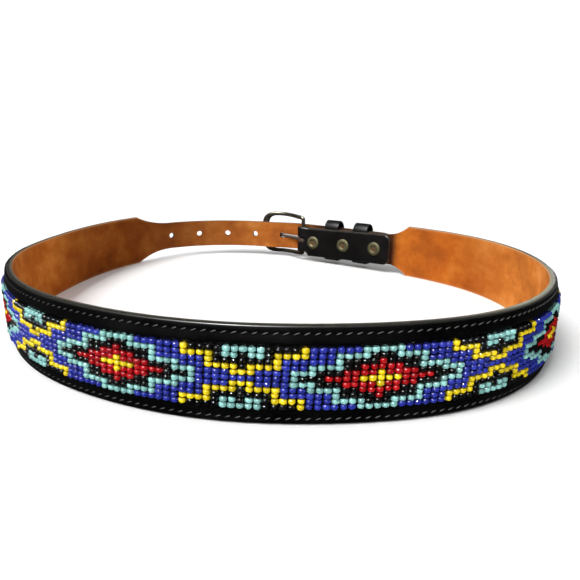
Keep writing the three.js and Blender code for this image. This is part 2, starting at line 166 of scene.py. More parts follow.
def strapEdges(along):
    half = middle = middleHeight
    if along < bodyStart:
        share = max(0, (along - strap["taperStart"]) / strap["taper"]) ** 2
        half = blend(strap["buckleEnd"] / 2, half, share)
        middle -= strap["droop"] * (1 - along / bodyStart)
        neck = 1 - min(1, max(0, (along - strap["neckStart"]) / (strap["neckEnd"] - strap["neckStart"])))
        half = blend(half, strap["neck"] / 2, neck)
        middle = blend(middle, middleHeight - strap["neckDrop"], neck)
    if along > bodyEnd:
        share = max(0, 1 - (along - bodyEnd) / strap["billetTaper"]) ** 2
        half = blend(strap["billet"] / 2, half, share)
        half -= cornerInset(billetTip - along, strap["billetCorner"])
    return middle - half, middle + half


def foldOut(along):
    return blend(2 * barOut, -strap["foldGap"], smoothStep(along, 0, strap["foldGapStart"]))


def billetOut(along):
    rise = smoothStep(along - waist, strap["riseStart"], strap["riseEnd"])
    return (thickness + strap["billetGap"]) * rise


def circleAngles(count):
    return [2 * math.pi * k / count for k in range(count)]


def runBetween(before, after):
    return Vector((after[0] - before[0], after[1] - before[1])).normalized()


# How far a rounded square reaches past a circle at an angle, with the angle's cosine and sine
def squareAt(angle, power):
    c, s = math.cos(angle), math.sin(angle)
    return (abs(c) ** power + abs(s) ** power) ** (-1 / power), c, s


# Mesh helpers. A finished piece has its place in its mesh and its object at the origin.
softAngle = 35


def addObject(name, data):
    thing = bpy.data.objects.new(name, data)
    scene.collection.objects.link(thing)
    return thing


def newMesh(name, vertices, edges=(), faces=()):
    mesh = bpy.data.meshes.new(name)
    mesh.from_pydata([tuple(v) for v in vertices], list(edges), list(faces))
    return mesh


def newPiece(name, vertices, faces, material, sharpAngle=softAngle):
    mesh = newMesh(name, vertices, faces=faces)
    mesh.validate()
    mesh.polygons.foreach_set("use_smooth", [True] * len(mesh.polygons))
    mesh.set_sharp_from_angle(angle=math.radians(sharpAngle))
    if material:
        mesh.materials.append(material)
    return addObject(name, mesh)


def storeValues(mesh, name, values, kind="FLOAT"):
    mesh.attributes.new(name, kind, "POINT").data.foreach_set("value", values)


# A closed skin through rings of points, capped at both ends or joined end to end
def ringSkin(name, rings, material=None, joined=False, sharpAngle=softAngle, masks=None):
    size = len(rings[0])
    spans = len(rings) if joined else len(rings) - 1
    faces = []
    for i in range(spans):
        here, after = i * size, ((i + 1) % len(rings)) * size
        for k in range(size):
            m = (k + 1) % size
            faces.append((here + k, after + k, after + m, here + m))
    if not joined:
        faces.append(tuple(range(size)))
        faces.append(tuple(reversed(range((len(rings) - 1) * size, len(rings) * size))))
    vertices = [point for ring in rings for point in ring]
    piece = newPiece(name, vertices, faces, material, sharpAngle)
    for maskName, values in (masks or {}).items():
        storeValues(piece.data, maskName, values)
    turnOutward(piece)
    return piece


def turnOutward(piece):
    mesh = piece.data
    volume = 0
    for face in mesh.polygons:
        volume += face.center.dot(face.normal) * face.area
    if volume < 0:
        mesh.flip_normals()


def plainMesh(piece):
    graph = bpy.context.evaluated_depsgraph_get()
    mesh = bpy.data.meshes.new_from_object(piece.evaluated_get(graph))
    piece.modifiers.clear()
    piece.data = mesh
    return piece


def joinWith(piece, others, operation, sharpAngle=softAngle):
    for k, other in enumerate(others):
        change = piece.modifiers.new("join" + str(k), "BOOLEAN")
        change.operation = operation
        change.solver = "EXACT"
        change.object = other
    plainMesh(piece)
    for other in others:
        bpy.data.objects.remove(other)
    piece.data.set_sharp_from_angle(angle=math.radians(sharpAngle))
    return piece


# Shader helpers
def newMaterial(name):
    material = bpy.data.materials.new(name)
    material.use_nodes = True
    shader = material.node_tree.nodes["Principled BSDF"]
    return material, material.node_tree, shader


def setInputs(node, values):
    for key, value in values.items():
        node.inputs[key.replace("_", " ")].default_value = value
    return node


def addNode(tree, kind, **values):
    return setInputs(tree.nodes.new(kind), values)


def attributeNode(tree, name):
    node = tree.nodes.new("ShaderNodeAttribute")
    node.attribute_name = name
    return node


def multiplyAdd(tree, factor):
    node = tree.nodes.new("ShaderNodeMath")
    node.operation = "MULTIPLY_ADD"
    node.inputs[1].default_value = factor
    return node


# Joins one node's output to another's input, each by name or number
def wiring(tree):
    def wire(source, output, target, socket):
        tree.links.new(source.outputs[output], target.inputs[socket])
    return wire


# Joins nodes in a row, first output to first input
def chain(tree, *nodes):
    for source, target in zip(nodes, nodes[1:]):
        tree.links.new(source.outputs[0], target.inputs[0])


def addBump(tree, shader, source, output, strength, distance):
    bump = addNode(tree, "ShaderNodeBump", Strength=strength, Distance=distance)
    wire = wiring(tree)
    wire(source, output, bump, "Height")
    wire(bump, 0, shader, "Normal")


def rampNode(tree, stops):
    ramp = tree.nodes.new("ShaderNodeValToRGB")
    marks = ramp.color_ramp.elements
    while len(marks) < len(stops):
        marks.new(0.5)
    for mark, (position, colour) in zip(marks, stops):
        mark.position = position
        mark.color = (*colour, 1)
    return ramp


def mixNode(tree, kind="MIX"):
    mix = tree.nodes.new("ShaderNodeMix")
    mix.data_type = "RGBA"
    mix.blend_type = kind
    return mix


# A shader group of plain numbers, with named inputs and outputs
def newGroup(name, ins, outs):
    group = bpy.data.node_groups.new(name, "ShaderNodeTree")
    for label, value in ins.items():
        socket = group.interface.new_socket(label, in_out="INPUT", socket_type="NodeSocketFloat")
        socket.default_value = value
    for label in outs:
        group.interface.new_socket(label, in_out="OUTPUT", socket_type="NodeSocketFloat")
    kinds = ("NodeGroupInput", "NodeGroupOutput", "ShaderNodeTexCoord")
    return group, *[group.nodes.new(kind) for kind in kinds]


# Fine leather grain: pores and creases as a height, and slow patches as a mask
def makeGrainGroup():
    group, given, result, spot = newGroup("leatherGrain", {"Pore Size": 900, "Patch Size": 30},
                                          ("Height", "Patches"))
    pores = group.nodes.new("ShaderNodeTexVoronoi")
    pores.feature = "DISTANCE_TO_EDGE"
    crease = addNode(group, "ShaderNodeTexNoise", Scale=400, Detail=5)
    patch = addNode(group, "ShaderNodeTexNoise", Detail=4, Roughness=0.6)
    mixHeight = multiplyAdd(group, 0.5)
    wire = wiring(group)
    wire(spot, "Object", pores, "Vector")
    wire(spot, "Object", crease, "Vector")
    wire(spot, "Object", patch, "Vector")
    wire(given, "Pore Size", pores, "Scale")
    wire(given, "Patch Size", patch, "Scale")
    wire(crease, "Fac", mixHeight, 0)
    wire(pores, "Distance", mixHeight, 2)
    wire(mixHeight, 0, result, "Height")
    wire(patch, "Fac", result, "Patches")
    return group


# Uneven tone of handled metal: fine scratches and slow stains
def makeTarnishGroup():
    group, given, result, spot = newGroup("metalTarnish", {"Stain Size": 300, "Scratch Size": 1800},
                                          ("Stain", "Scratch"))
    stain = addNode(group, "ShaderNodeTexNoise", Detail=6, Roughness=0.65)
    scratch = addNode(group, "ShaderNodeTexNoise", Detail=3)
    stretch = addNode(group, "ShaderNodeMapping", Scale=(1, 1, 0.15))
    wire = wiring(group)
    wire(spot, "Object", stain, "Vector")
    wire(spot, "Object", stretch, "Vector")
    wire(stretch, 0, scratch, "Vector")
    wire(given, "Stain Size", stain, "Scale")
    wire(given, "Scratch Size", scratch, "Scale")
    wire(stain, "Fac", result, "Stain")
    wire(scratch, "Fac", result, "Scratch")
    return group


grainGroup = makeGrainGroup()
tarnishGroup = makeTarnishGroup()


def placeGroup(tree, group, **values):
    node = tree.nodes.new("ShaderNodeGroup")
    node.node_tree = group
    return setInputs(node, values)


tanLook = {
    "deep": (0.48, 0.109, 0.014), "middle": (0.73, 0.182, 0.024), "pale": (0.98, 0.325, 0.077),
    # edge: dark edge paint, with a paler grey-olive band from 0.25 to 0.315 m along the strap that is a
    # painted reflection on the top edge
    "edge": [(0.21, (0.085, 0.078, 0.060)), (0.25, (0.27, 0.265, 0.19)), (0.315, (0.32, 0.315, 0.22)),
             (0.350, (0.085, 0.078, 0.060))],
    # rim: a painted highlight, a pale line along the lining's inner top corner
    "rim": (0.62, 0.34, 0.16), "roughness": 0.78,
    # Painted light and shade along the strap, multiplied into the tan: paler where light falls on the
    # inside, darker where it is shaded, and dark near both ends where the layers overlap
    "lightAndShadeAlong": [(0.0, (0.10, 0.10, 0.08)), (0.082, (0.10, 0.10, 0.08)), (0.088, (0.67, 0.70, 0.34)),
                (0.115, (0.66, 0.66, 0.30)), (0.15, (0.46, 0.40, 0.16)), (0.195, (0.80, 1.0, 1.0)),
                (0.30, (0.85, 1.0, 1.0)), (0.50, (0.60, 0.62, 0.38)), (0.62, (0.70, 0.76, 0.50)),
                (0.66, (0.62, 0.61, 0.33)), (0.705, (0.35, 0.33, 0.16)), (0.76, (0.30, 0.29, 0.16)),
                (0.80, (0.30, 0.31, 0.20)), (0.83, (0.38, 0.41, 0.28)), (0.89, (0.55, 0.63, 0.50)),
                (0.925, (0.53, 0.56, 0.42)), (0.935, (0.10, 0.10, 0.08))],
}
blackLook = {
    "face": (0.0010, 0.0010, 0.0011), "wearAndShade": (0.0040, 0.0038, 0.0036),
    # edge: dark edge paint, with a paler grey band from 0.25 to 0.315 m along the strap that is a painted
    # reflection on the top edge
    "edge": [(0.21, (0.030, 0.029, 0.024)), (0.25, (0.11, 0.108, 0.080)), (0.315, (0.12, 0.118, 0.088)),
             (0.345, (0.030, 0.029, 0.024))],
}
metalLook = {"bright": (0.19, 0.18, 0.145), "dark": (0.055, 0.050, 0.038), "roughness": 0.34}
prongLook = {"bright": (0.40, 0.36, 0.32), "dark": (0.17, 0.14, 0.12), "roughness": 0.40}
brassLook = {"bright": (0.095, 0.088, 0.040), "dark": (0.045, 0.040, 0.018), "roughness": 0.62}
dimpleBrown = (0.085, 0.048, 0.020)
beadColours = {
    "T": ("turquoise", (0.25, 0.53, 0.50)),
    "B": ("blue", (0.020, 0.031, 0.32)),
    "K": ("black", (0.0010, 0.0010, 0.0012)),
    "R": ("red", (0.40, 0.0015, 0.004)),
    "Y": ("yellow", (0.80, 0.60, 0.008)),
}


# The strap's own map: metres along it and its height
def strapMap(tree):
    spot = tree.nodes.new("ShaderNodeUVMap")
    spot.uv_map = "strap"
    parts = tree.nodes.new("ShaderNodeSeparateXYZ")
    wiring(tree)(spot, 0, parts, 0)
    return spot, parts


# The cut edge has a dark tone of its own; the paler band in its ramp along the strap is a painted
# reflection, the sheen of grazing light on the top edge
def mixEdge(tree, shader, edge, ends, face, output, stops):
    wire = wiring(tree)
    edgeToneAndSheen, edgeMix = rampNode(tree, stops), mixNode(tree)
    wire(ends, "X", edgeToneAndSheen, "Fac")
    wire(edgeToneAndSheen, "Color", edgeMix, "B")
    wire(edge, "Fac", edgeMix, "Factor")
    wire(face, output, edgeMix, "A")
    wire(edgeMix, "Result", shader, "Base Color")


def makeTanLeather():
    material, tree, shader = newMaterial("tanLeather")
    wire = wiring(tree)
    grain = placeGroup(tree, grainGroup, Pore_Size=1100, Patch_Size=26)
    mapStrap, ends = strapMap(tree)
    stretch = addNode(tree, "ShaderNodeMapping", Scale=(95, 120, 1))
    fibre = addNode(tree, "ShaderNodeTexNoise", Scale=1, Detail=5, Roughness=0.65)
    nap = multiplyAdd(tree, 0.45)
    tone = rampNode(tree, [(0.52, tanLook["deep"]), (0.72, tanLook["middle"]), (0.94, tanLook["pale"])])
    # Painted light and shade along the strap multiplies the leather's tone
    lightAndShadeAlong = rampNode(tree, tanLook["lightAndShadeAlong"])
    lightAndShadeMix = mixNode(tree, "MULTIPLY")
    lightAndShadeMix.inputs["Factor"].default_value = 1
    # The rim mask mixes in a painted highlight along the inner top corner
    rim = attributeNode(tree, "rim")
    rimHighlightMix = mixNode(tree)
    rimHighlightMix.inputs["B"].default_value = (*tanLook["rim"], 1)
    wire(mapStrap, 0, stretch, "Vector")
    wire(stretch, 0, fibre, "Vector")
    wire(fibre, "Fac", nap, 0)
    wire(grain, "Patches", nap, 2)
    wire(nap, 0, tone, "Fac")
    wire(ends, "X", lightAndShadeAlong, "Fac")
    wire(tone, "Color", lightAndShadeMix, "A")
    wire(lightAndShadeAlong, "Color", lightAndShadeMix, "B")
    wire(rim, "Fac", rimHighlightMix, "Factor")
    wire(lightAndShadeMix, "Result", rimHighlightMix, "A")
    mixEdge(tree, shader, attributeNode(tree, "edge"), ends, rimHighlightMix, "Result", tanLook["edge"])
    addBump(tree, shader, grain, "Height", 0.35, 0.0002)
    setInputs(shader, {"Roughness": tanLook["roughness"], "Specular IOR Level": 0.08})
    return material


def makeBlackLeather(name, specular):
    material, tree, shader = newMaterial(name)
    wire = wiring(tree)
    grain = placeGroup(tree, grainGroup, Pore_Size=1300, Patch_Size=40)
    tone = rampNode(tree, [(0.35, blackLook["face"]), (0.75, blackLook["wearAndShade"])])
    edge = attributeNode(tree, "edge")
    gloss = addNode(tree, "ShaderNodeMapRange", From_Min=0.3, From_Max=0.7, To_Min=0.30, To_Max=0.44)
    polish = multiplyAdd(tree, -0.10)
    wire(grain, "Patches", tone, "Fac")
    mixEdge(tree, shader, edge, strapMap(tree)[1], tone, "Color", blackLook["edge"])
    wire(grain, "Patches", gloss, "Value")
    wire(edge, "Fac", polish, 0)
    wire(gloss, 0, polish, 2)
    wire(polish, 0, shader, "Roughness")
    addBump(tree, shader, grain, "Height", 0.22, 0.00015)
    setInputs(shader, {"Specular IOR Level": specular})
    return material


def makeMetal(name, look, stainSize, metallic):
    material, tree, shader = newMaterial(name)
    wire = wiring(tree)
    tarnish = placeGroup(tree, tarnishGroup, Stain_Size=stainSize)
    tone = rampNode(tree, [(0.30, look["dark"]), (0.70, look["bright"])])
    dimple = attributeNode(tree, "dimple")
    dimpleMix = mixNode(tree)
    dimpleMix.inputs["B"].default_value = (*dimpleBrown, 1)
    gloss = addNode(tree, "ShaderNodeMapRange", From_Min=0.3, From_Max=0.7,
                    To_Min=look["roughness"] * 1.25, To_Max=look["roughness"] * 0.85)
    wire(tarnish, "Stain", tone, "Fac")
    wire(dimple, "Fac", dimpleMix, "Factor")
    wire(tone, "Color", dimpleMix, "A")
    wire(dimpleMix, "Result", shader, "Base Color")
    wire(tarnish, "Stain", gloss, "Value")
    wire(gloss, 0, shader, "Roughness")
    addBump(tree, shader, tarnish, "Scratch", 0.06, 0.0001)
    setInputs(shader, {"Metallic": metallic})
    return material


# Opaque glass: each bead's tone comes from the number that its own point was given
def makeBeadGlass(name, colour):
    material, tree, shader = newMaterial(name + "Glass")
    wire = wiring(tree)
    dark = tuple(c * 0.72 for c in colour)
    light = tuple(min(1, c * 1.22 + 0.004) for c in colour)
    ramp = rampNode(tree, [(0.0, dark), (0.5, colour), (1.0, light)])
    wire(attributeNode(tree, "tone"), "Fac", ramp, "Fac")
    wire(ramp, "Color", shader, "Base Color")
    setInputs(shader, {"Roughness": 0.13, "Specular IOR Level": 0.6})
    return material


# The thread along the lower edge is darker, painted shade: its colour is the given factor times the upper
# one's
def makeThread(name, colour, roughness, specular, wearAndShade):
    material, tree, shader = newMaterial(name)
    wire = wiring(tree)
    spot = tree.nodes.new("ShaderNodeTexCoord")
    twist = addNode(tree, "ShaderNodeTexNoise", Scale=2500, Detail=2)
    tone = rampNode(tree, [(0.3, colour), (0.8, tuple(c * 2.2 for c in colour))])
    height = tree.nodes.new("ShaderNodeSeparateXYZ")
    # Painted shade: the colour darkens towards the lower edge, down to the given factor below 4 mm
    lowerShade = addNode(tree, "ShaderNodeMapRange", From_Min=0.004, From_Max=0.014, To_Min=wearAndShade, To_Max=1)
    lowerShadeMix = mixNode(tree, "MULTIPLY")
    lowerShadeMix.inputs["Factor"].default_value = 1
    wire(spot, "Object", twist, "Vector")
    wire(spot, "Object", height, 0)
    wire(height, "Z", lowerShade, "Value")
    wire(twist, "Fac", tone, "Fac")
    wire(tone, "Color", lowerShadeMix, "A")
    wire(lowerShade, 0, lowerShadeMix, "B")
    wire(lowerShadeMix, "Result", shader, "Base Color")
    addBump(tree, shader, twist, "Fac", 0.3, 0.0001)
    setInputs(shader, {"Roughness": roughness, "Specular IOR Level": specular})
    return material


tanLeather = makeTanLeather()
blackLeather = makeBlackLeather("blackLeather", 0.27)
overlayLeather = makeBlackLeather("overlayLeather", 0.06)
buckleMetal = makeMetal("buckleMetal", metalLook, 120, 1.0)
prongMetal = makeMetal("prongMetal", prongLook, 160, 1.0)
snapBrass = makeMetal("snapBrass", brassLook, 260, 0.7)
# The lower row of stitches gets 0.7 of the colour as painted shade
stitchThread = makeThread("stitchThread", (0.019, 0.018, 0.0165), 0.60, 0.35, 0.7)
warpThread = makeThread("warpThread", (0.001, 0.001, 0.001), 0.8, 0.03, 1.0)
print("materials made")


# The strap's course, seen from above: fold, round the bar, round the waist, and the billet
def strapCourse():
    step = strap["step"]
    course = []
    for share in (0, 0.02, 0.1, 0.25, 0.45, 0.7, 1):
        along = strap["foldEnd"] - share * strap["foldCorner"]
        course.append((along, foldOut(along), cornerInset(strap["foldEnd"] - along, strap["foldCorner"])))
    for along in spread(strap["foldEnd"] - strap["foldCorner"], strap["neckEnd"], step)[1:]:
        course.append((along, foldOut(along), 0))
    for along in spread(strap["neckEnd"], 0, 0.8)[1:-1]:
        course.append((along, foldOut(along), 0))
    for turn in range(270, 85, -12):
        angle = math.radians(turn)
        course.append((-barOut * math.cos(angle), barOut - barOut * math.sin(angle), 0))
    # each stretch of the run: its end and the step up to there
    stretches = [(0, 0), (strap["neckEnd"], 0.8), (strap["taperStart"], step), (bodyStart, step / 2),
                 (bodyEnd, step), (bodyEnd + strap["billetTaper"], step),
                 (billetTip - strap["billetCorner"], step)]
    stops = []
    for (start, _), (end, size) in zip(stretches, stretches[1:]):
        stops += spread(start, end, size)[1:]
    stops += [billetTip - share * strap["billetCorner"] for share in (0.7, 0.45, 0.25, 0.1, 0.02, 0)]
    course += [(along, billetOut(along), 0) for along in stops]
    return course


course = strapCourse()
facings = []
for k in range(len(course)):
    run = runBetween(course[max(0, k - 1)], course[min(len(course) - 1, k + 1)])
    facings.append(Vector((-run.y, run.x)))


# One ply: its section is a list of (depth, distance from the nearer edge, edge mask, rim mask); the rim
# mask places a painted highlight along the inner top corner
def strapPly(name, lowerSection, material):
    section = lowerSection + [(depth, -inset, edge, rim)
                              for depth, inset, edge, rim in reversed(lowerSection)]
    rings, edgeMask, rimHighlightMask, mapPoints = [], [], [], []
    for (along, out, corner), facing in zip(course, facings):
        low, high = strapEdges(max(0, along))
        wide = smoothStep(high - low, 26, 36)
        ring = []
        for k, (depth, inset, edge, rim) in enumerate(section):
            lower = k < len(lowerSection)
            height = low + corner + inset if lower else high - corner + inset
            ring.append(place(along + depth * facing.x, out + depth * facing.y, height))
            edgeMask.append(edge)
            rimHighlightMask.append(rim * wide)
            mapPoints.append((along * mm, height * mm))
        rings.append(ring)
    ply = ringSkin(name, rings, material, masks={"edge": edgeMask, "rim": rimHighlightMask})
    layer = ply.data.uv_layers.new(name="strap")
    for corner in ply.data.loops:
        layer.data[corner.index].uv = mapPoints[corner.vertex_index]
    return ply


# Unit directions round the line that points outward from the loop
def spokesAt(along, count):
    outward = outwardAt(along)
    side = Vector((outward.y, -outward.x, 0))
    return [side * math.cos(a) + Vector((0, 0, 1)) * math.sin(a) for a in circleAngles(count)]


def roundCutter(name, along, radius, start, end, height):
    rings = [[place(along, out, height) + radius * mm * spoke for spoke in spokesAt(along, 28)]
             for out in (start, end)]
    return ringSkin(name, rings)


snapMiddles = [12, 40.5, 69]
snapPost, snapNeck, snapRoom = 1.5, 2.4, 0.3


def strapMiddle(along):
    low, high = strapEdges(along)
    return (low + high) / 2


# The buckle's own directions: straight from its bar, inside, to its far bar, outside
heel = flatPlace(0, barOut)
farOut = thickness + buckle["farGap"] + buckle["thick"] / 2
towardsFar = (flatPlace(-buckle["length"], farOut) - heel).normalized()
awayFromWaist = Vector((towardsFar.y, -towardsFar.x))


def onBuckle(length, out, height):
    flat = heel + length * towardsFar + out * awayFromWaist + shift
    return Vector((flat.x * mm, flat.y * mm, height * mm))


prong = {
    "width": 4.2, "tipWidth": 2.4, "thick": 2.2, "tipThick": 1.8, "eye": 1.4, "overhang": 2.4,
    "clearance": 0.3, "slant": 0.8,
}
frameEnd = buckle["length"] + buckle["farReach"]
windowEnd = frameEnd - buckle["farBar"]
eyeInner = buckle["bar"] + prong["clearance"]
eyeOuter = eyeInner + prong["eye"]


# The rails bulge outward between the bars
def domeAt(length):
    share = min(1, max(0, length / buckle["length"]))
    return buckle["dome"] * math.sin(math.pi * share) ** 2


def prongRings(grow, sides, shares):
    rootOut = eyeOuter - prong["thick"] / 2
    restOut = domeAt(windowEnd) + buckle["thick"] / 2 + prong["clearance"] + prong["tipThick"] / 2
    length = buckle["length"] + prong["overhang"]
    rings = []
    for share, size in shares:
        halfWidth = size * blend(prong["width"], prong["tipWidth"], share) / 2 + grow
        halfThick = size * blend(prong["thick"], prong["tipThick"], share) / 2 + grow
        out = blend(rootOut, restOut, share)
        height = middleHeight + prong["slant"] * (2 * share - 1)
        ring = []
        for k in range(sides):
            square, c, s = squareAt(2 * math.pi * (k + 0.5) / sides, 3)
            ring.append(onBuckle(share * length, out + halfThick * square * s,
                                 height + halfWidth * square * c))
        rings.append(ring)
    return rings


def slotCutter(name):
    reach = eyeOuter + prong["clearance"]
    left = -barOut + thickness + 1
    half = prong["width"] / 2 + prong["clearance"]
    middle = middleHeight - prong["slant"]
    rings = []
    for along in spread(-left, reach, 1):
        rings.append([place(along, barOut + side * (left + 1), middle + rise * half)
                      for side, rise in ((-1, -1), (1, -1), (1, 1), (-1, 1))])
    return ringSkin(name, rings)


def strapCutters(prefix):
    cutters = []
    for k in range(holes["toBody"] + holes["toTip"] + 1):
        along = holes["inUse"] + (k - holes["toBody"]) * holes["pitch"]
        out = billetOut(waist + along)
        cutters.append(roundCutter(prefix + "Hole" + str(k), along, holes["radius"], out - 1,
                                   out + thickness + 1, middleHeight))
    for k, along in enumerate(snapMiddles):
        height = strapMiddle(along)
        halfway = -strap["foldGap"] / 2
        cutters.append(roundCutter(prefix + "Post" + str(k), along, snapPost + snapRoom, halfway,
                                   thickness + 1, height))
        cutters.append(roundCutter(prefix + "Neck" + str(k), along, snapNeck + snapRoom,
                                   -strap["foldGap"] - thickness - 1, halfway, height))
    cutters.append(slotCutter(prefix + "Slot"))
    way = prongRings(prong["clearance"], 16, [(0, 1), (0.93, 1), (1, 0.5)])
    cutters.append(ringSkin(prefix + "Way", way))
    return cutters


def makeLining():
    top = strap["lining"] + strap["glue"] / 2 - strap["seam"] / 2
    # The last number of each row is the rim mask, the share of the painted highlight there
    section = [
        (0.0, 11.0, 0, 0), (0.0, 6.0, 0, 0), (0.0, 2.5, 0, 0), (0.0, 0.9, 0, 0.1), (0.0, 0.40, 0, 0.8),
        (0.10, 0.12, 0.3, 1), (0.3, 0.02, 0.9, 0), (0.8, 0.0, 1, 0), (top, 0.0, 1, 0),
    ]
    ply = strapPly("tan_lining", section, tanLeather)
    return joinWith(ply, strapCutters("lining"), "DIFFERENCE")


def makeOuterStrap():
    base = strap["lining"] + strap["glue"] / 2 + strap["seam"] / 2
    section = [
        (base, 9.0, 0, 0), (base, 0.02, 1, 0), (base + 0.25, -0.04, 1, 0), (thickness - 0.95, 0.0, 1, 0),
        (thickness - 0.5, 0.1, 1, 0), (thickness - 0.2, 0.3, 0.7, 0), (thickness - 0.05, 0.62, 0.3, 0),
        (thickness, 1.1, 0, 0), (thickness, 3.0, 0, 0), (thickness, 9.0, 0, 0),
    ]
    ply = strapPly("black_strap", section, blackLeather)
    return joinWith(ply, strapCutters("strap"), "DIFFERENCE")


lining = makeLining()
outerStrap = makeOuterStrap()
print("strap made:", len(lining.data.polygons), "and", len(outerStrap.data.polygons), "faces")

# Overlay: a ring of leather round the window, skived thin and sewn down along its outer edge
overlay = {
    "inset": 0.8, "endGap": 8, "endBorder": 6, "window": 24.4, "round": 4,
    "windowRound": 1.5, "seam": 0.06, "lip": 1.25,
}
overlayBox = (bodyStart + overlay["endGap"], bodyEnd - overlay["endGap"],
              overlay["inset"], strap["width"] - overlay["inset"])


def roundedOutline(left, right, low, high, radius, count):
    outline = []
    corners = [(right - radius, high - radius, 0), (left + radius, high - radius, 90),
               (left + radius, low + radius, 180), (right - radius, low + radius, 270)]
    for k, (cx, cy, start) in enumerate(corners):
        for turn in range(0, 91, 15):
            angle = math.radians(start + turn)
            outline.append((cx + radius * math.cos(angle), cy + radius * math.sin(angle)))
        nx, ny, nextStart = corners[(k + 1) % 4]
        ax, ay = outline[-1]
        bx = nx + radius * math.cos(math.radians(nextStart))
        by = ny + radius * math.sin(math.radians(nextStart))
        parts = count if k % 2 == 0 else 8
        for m in range(1, parts):
            outline.append((blend(ax, bx, m / parts), blend(ay, by, m / parts)))
    return outline


def makeOverlay():
    left, right, low, high = overlayBox
    count = round((right - left) / strap["step"])
    outer = roundedOutline(left, right, low, high, overlay["round"], count)
    inner = roundedOutline(left + overlay["endBorder"], right - overlay["endBorder"],
                           middleHeight - overlay["window"] / 2, middleHeight + overlay["window"] / 2,
                           overlay["windowRound"], count)
    base, full = thickness + overlay["seam"], overlay["lip"]
    # distance in from the outer edge, and height over the strap; the last ones count from the window's lip
    outerRows = [(0, 0.0), (0, 0.30), (0.1, 0.47), (0.35, 0.56), (1.2, 0.62), (1.65, 0.57), (1.9, 0.50),
                 (2.15, 0.57), (2.6, 0.70), (3.5, 0.95), (4.6, full)]
    lipRows = [(1.0, full + 0.05), (0.45, full), (0.15, full - 0.18), (0.0, full - 0.5), (0.0, 0.0)]
    rings = []
    for (ox, oy), (ix, iy) in zip(outer, inner):
        width = math.hypot(ix - ox, iy - oy)
        rows = [(inset / width, rise) for inset, rise in outerRows]
        rows += [(1 - inset / width, rise) for inset, rise in lipRows]
        rings.append([place(blend(ox, ix, share), base + rise, blend(oy, iy, share))
                      for share, rise in rows])
    return ringSkin("bead_window", rings, overlayLeather, joined=True)


overlayPiece = makeOverlay()
print("overlay made")


# Geometry Nodes helpers
def newTree(name, floats, **others):
    tree = bpy.data.node_groups.new(name, "GeometryNodeTree")
    kinds = {"Geometry": "Geometry", **dict.fromkeys(floats, "Float"), **others}
    for label, kind in kinds.items():
        tree.interface.new_socket(label, in_out="INPUT", socket_type="NodeSocket" + kind)
    tree.interface.new_socket("Geometry", in_out="OUTPUT", socket_type="NodeSocketGeometry")
    return tree, tree.nodes.new("NodeGroupInput"), tree.nodes.new("NodeGroupOutput")


def growWith(piece, tree, values):
    change = piece.modifiers.new(tree.name, "NODES")
    change.node_group = tree
    for item in tree.interface.items_tree:
        if item.item_type == "SOCKET" and item.in_out == "INPUT" and item.name in values:
            change[item.identifier] = values[item.name]
    return plainMesh(piece)


# A socket gets a plain number, or a link from another socket
def feed(tree, sockets, values):
    for socket, value in zip(sockets, values):
        if isinstance(value, (int, float)):
            socket.default_value = value
        else:
            tree.links.new(value, socket)


def mathNode(tree, operation, a, b):
    node = tree.nodes.new("ShaderNodeMath")
    node.operation = operation
    feed(tree, node.inputs, (a, b))
    return node.outputs[0]


def randomVector(tree, low, high, seed, offset):
    node = tree.nodes.new("FunctionNodeRandomValue")
    node.data_type = "FLOAT_VECTOR"
    tree.links.new(low, node.inputs["Min"])
    tree.links.new(high, node.inputs["Max"])
    tree.links.new(mathNode(tree, "ADD", seed, offset), node.inputs["Seed"])
    return node.outputs["Value"]


def vectorOf(tree, x, y, z):
    node = tree.nodes.new("ShaderNodeCombineXYZ")
    feed(tree, node.inputs, (x, y, z))
    return node.outputs[0]


# Random, the same reach to both sides of a middle in each direction
def randomAbout(tree, middle, reach, seed, offset):
    low = mathNode(tree, "SUBTRACT", middle, reach)
    high = mathNode(tree, "ADD", middle, reach)
    return randomVector(tree, vectorOf(tree, low, low, low), vectorOf(tree, high, high, high),
                        seed, offset)


# Every tree ends alike: instances made real, then the material
def endTree(tree, shape, material, result):
    real = tree.nodes.new("GeometryNodeRealizeInstances")
    dressed = tree.nodes.new("GeometryNodeSetMaterial")
    wire = wiring(tree)
    wire(shape, 0, real, "Geometry")
    wire(real, 0, dressed, "Geometry")
    tree.links.new(material, dressed.inputs["Material"])
    wire(dressed, 0, result, "Geometry")
    return tree


